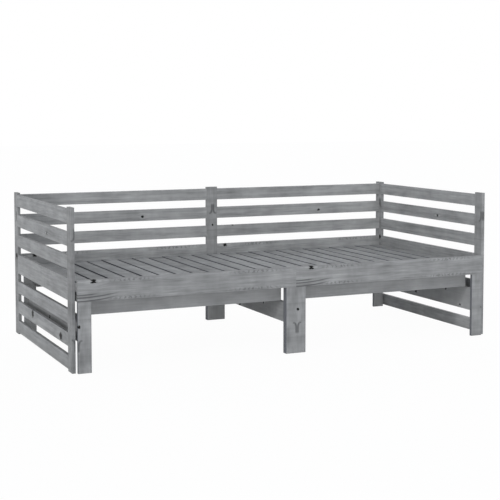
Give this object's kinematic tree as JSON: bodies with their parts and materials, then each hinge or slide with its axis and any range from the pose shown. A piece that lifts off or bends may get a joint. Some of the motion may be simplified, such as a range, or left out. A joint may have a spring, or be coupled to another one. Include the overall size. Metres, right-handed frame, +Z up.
{
  "type": "pull-out daybed",
  "caption": "Low daybed of stained wooden boards with slatted sides and back, whose front frame with its own legs and slats slides out to double the sleeping deck.",
  "frame": {"origin": "on the floor at the middle of the closed bed's footprint", "axes": "+X along the bed to its right end seen from the front, +Y from the front to the back, +Z up"},
  "size_m": [2.06, 1.013, 0.69],
  "materials": {
    "grey_pine": "grey-stained pine, satin",
    "beech_dowel": "plain turned beech",
    "zinc_screw": "zinc plated"
  },
  "bodies": {
    "fixed_frame": {"back_centre_post": "grey_pine", "fixed_dowels": "beech_dowel", "fixed_screws": "zinc_screw", "fixed_slats": "grey_pine", "left_back_rail_1": "grey_pine", "left_back_rail_2": "grey_pine", "left_back_rail_3": "grey_pine", "left_back_rail_4": "grey_pine", "left_board_1": "grey_pine", "left_board_2": "grey_pine", "left_board_3": "grey_pine", "left_board_4": "grey_pine", "left_board_5": "grey_pine", "left_board_6": "grey_pine", "left_board_7": "grey_pine", "left_front_post": "grey_pine", "left_rear_post": "grey_pine", "left_slat_ledger": "grey_pine", "right_back_rail_1": "grey_pine", "right_back_rail_2": "grey_pine", "right_back_rail_3": "grey_pine", "right_back_rail_4": "grey_pine", "right_board_1": "grey_pine", "right_board_2": "grey_pine", "right_board_3": "grey_pine", "right_board_4": "grey_pine", "right_board_5": "grey_pine", "right_board_6": "grey_pine", "right_board_7": "grey_pine", "right_front_post": "grey_pine", "right_rear_post": "grey_pine", "right_slat_ledger": "grey_pine"},
    "pull_out_frame": {"left_bearer": "grey_pine", "left_front_beam": "grey_pine", "left_front_leg": "grey_pine", "left_front_rail": "grey_pine", "left_rear_beam": "grey_pine", "left_rear_leg": "grey_pine", "left_stretcher": "grey_pine", "middle_bearer": "grey_pine", "middle_front_leg": "grey_pine", "middle_front_leg_backer": "grey_pine", "middle_rear_leg": "grey_pine", "middle_rear_leg_backer": "grey_pine", "middle_stretcher": "grey_pine", "pull_out_dowels": "beech_dowel", "pull_out_screws": "zinc_screw", "pull_out_slats": "grey_pine", "right_bearer": "grey_pine", "right_front_beam": "grey_pine", "right_front_leg": "grey_pine", "right_front_rail": "grey_pine", "right_rear_beam": "grey_pine", "right_rear_leg": "grey_pine", "right_stretcher": "grey_pine"}
  },
  "joints": [
    {"name": "pull_out", "type": "slide", "parent": "fixed_frame", "child": "pull_out_frame", "axis": [0, -1, 0], "range_m": [0, 0.84]}
  ]
}
